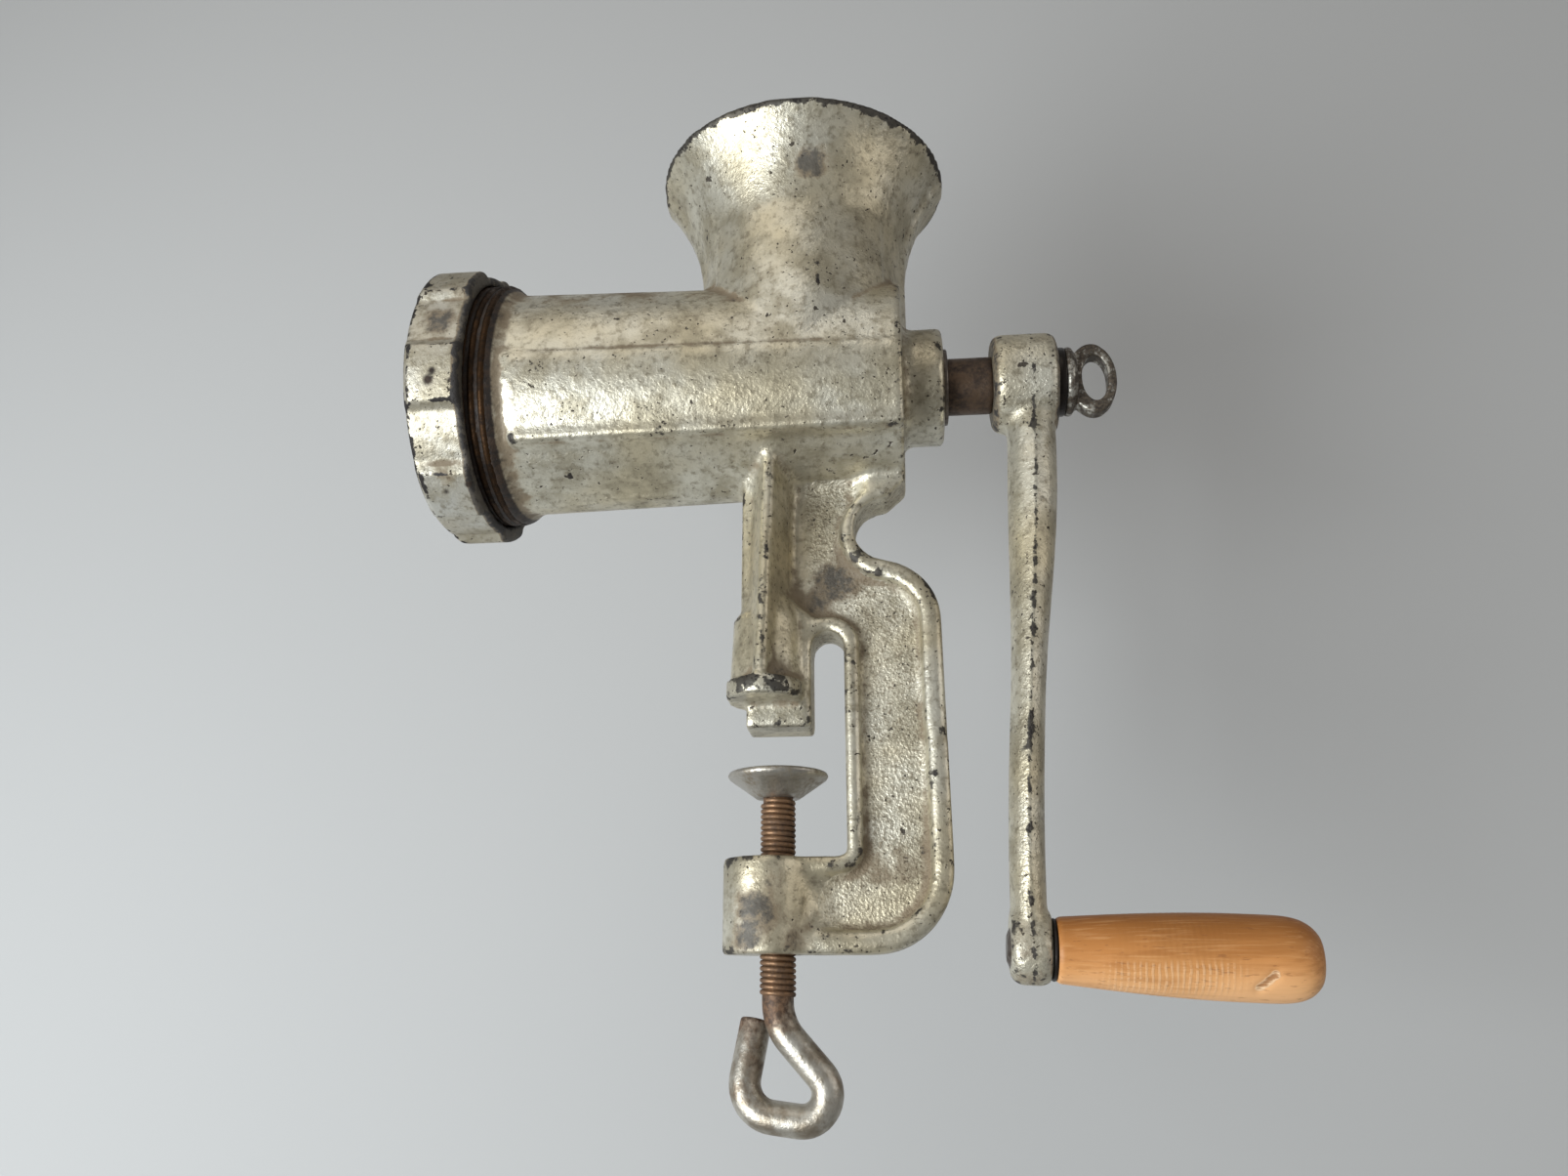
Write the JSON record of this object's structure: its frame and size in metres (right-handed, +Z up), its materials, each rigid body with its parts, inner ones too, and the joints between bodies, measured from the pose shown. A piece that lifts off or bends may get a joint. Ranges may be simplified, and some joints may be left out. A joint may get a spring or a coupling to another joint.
{
  "type": "manual meat grinder",
  "caption": "Hand-cranked meat grinder of tinned cast iron that clamps to a table edge, with hopper, screw ring, hole plate, knife, worm, crank and turning wooden grip.",
  "frame": {"origin": "centre of the jaw's underside, on the axis of the clamp screw", "axes": "+X along the barrel towards the crank, +Z up to the hopper, +Y across the barrel"},
  "size_m": [0.2471, 0.095, 0.2916],
  "materials": {
    "tinned_iron": "tinned, worn",
    "worn_iron": "dark, lightly rusted",
    "dark_steel": "oily",
    "steel": "ground",
    "thread_steel": "rusted thread, worn tin",
    "beech": "oiled"
  },
  "bodies": {
    "frame": {"body_casting": "tinned_iron", "bearing_bush": "dark_steel", "thrust_washer": "dark_steel", "plate_key": "steel"},
    "crank": {"feed_screw": "worn_iron", "knife_stud": "steel", "knife": "steel", "crank_arm": "tinned_iron", "grip_spindle": "steel", "grip_washer": "dark_steel"},
    "grip": {"wooden_grip": "beech"},
    "crank_washer": {"crank_washer": "dark_steel"},
    "thumb_screw": {"thumb_screw": "tinned_iron"},
    "plate": {"perforated_plate": "steel"},
    "ring": {"ring_nut": "tinned_iron"},
    "pad": {"clamp_pad": "steel"},
    "clamp_screw": {"clamp_screw": "thread_steel"}
  },
  "joints": [
    {"name": "crank_spin", "type": "hinge", "parent": "frame", "child": "crank", "pos_m": [0.06, 0, 0.1085], "axis": [-1, 0, 0], "continuous": true},
    {"name": "grip_spin", "type": "hinge", "parent": "crank", "child": "grip", "pos_m": [0.0677, 0, -0.06], "axis": [0.999, 0, -0.0436], "continuous": true},
    {"name": "washer_slide", "type": "slide", "parent": "crank", "child": "crank_washer", "axis": [1, 0, 0], "range_m": [0, 0.0125]},
    {"name": "thumb_spin", "type": "hinge", "parent": "crank_washer", "child": "thumb_screw", "pos_m": [0.09, 0, 0.1085], "axis": [1, 0, 0], "range_deg": [0, 3601]},
    {"name": "plate_slide", "type": "slide", "parent": "frame", "child": "plate", "axis": [-1, 0, 0], "range_m": [0, 0.015]},
    {"name": "ring_spin", "type": "hinge", "parent": "plate", "child": "ring", "pos_m": [-0.1, 0, 0.1085], "axis": [-1, 0, 0], "range_deg": [0, 1801]},
    {"name": "pad_slide", "type": "slide", "parent": "frame", "child": "pad", "axis": [0, 0, 1], "range_m": [-0.016, 0.011]},
    {"name": "clamp_spin", "type": "hinge", "parent": "pad", "child": "clamp_screw", "pos_m": [0, 0, -0.05], "axis": [0, 0, 1], "range_deg": [-3841, 2641]}
  ],
  "couplings": [
    {"joint": "thumb_spin", "follows": "washer_slide", "rad_per_m": 5026.5},
    {"joint": "ring_spin", "follows": "plate_slide", "rad_per_m": 2094.4},
    {"joint": "clamp_spin", "follows": "pad_slide", "rad_per_m": 4188.8}
  ]
}
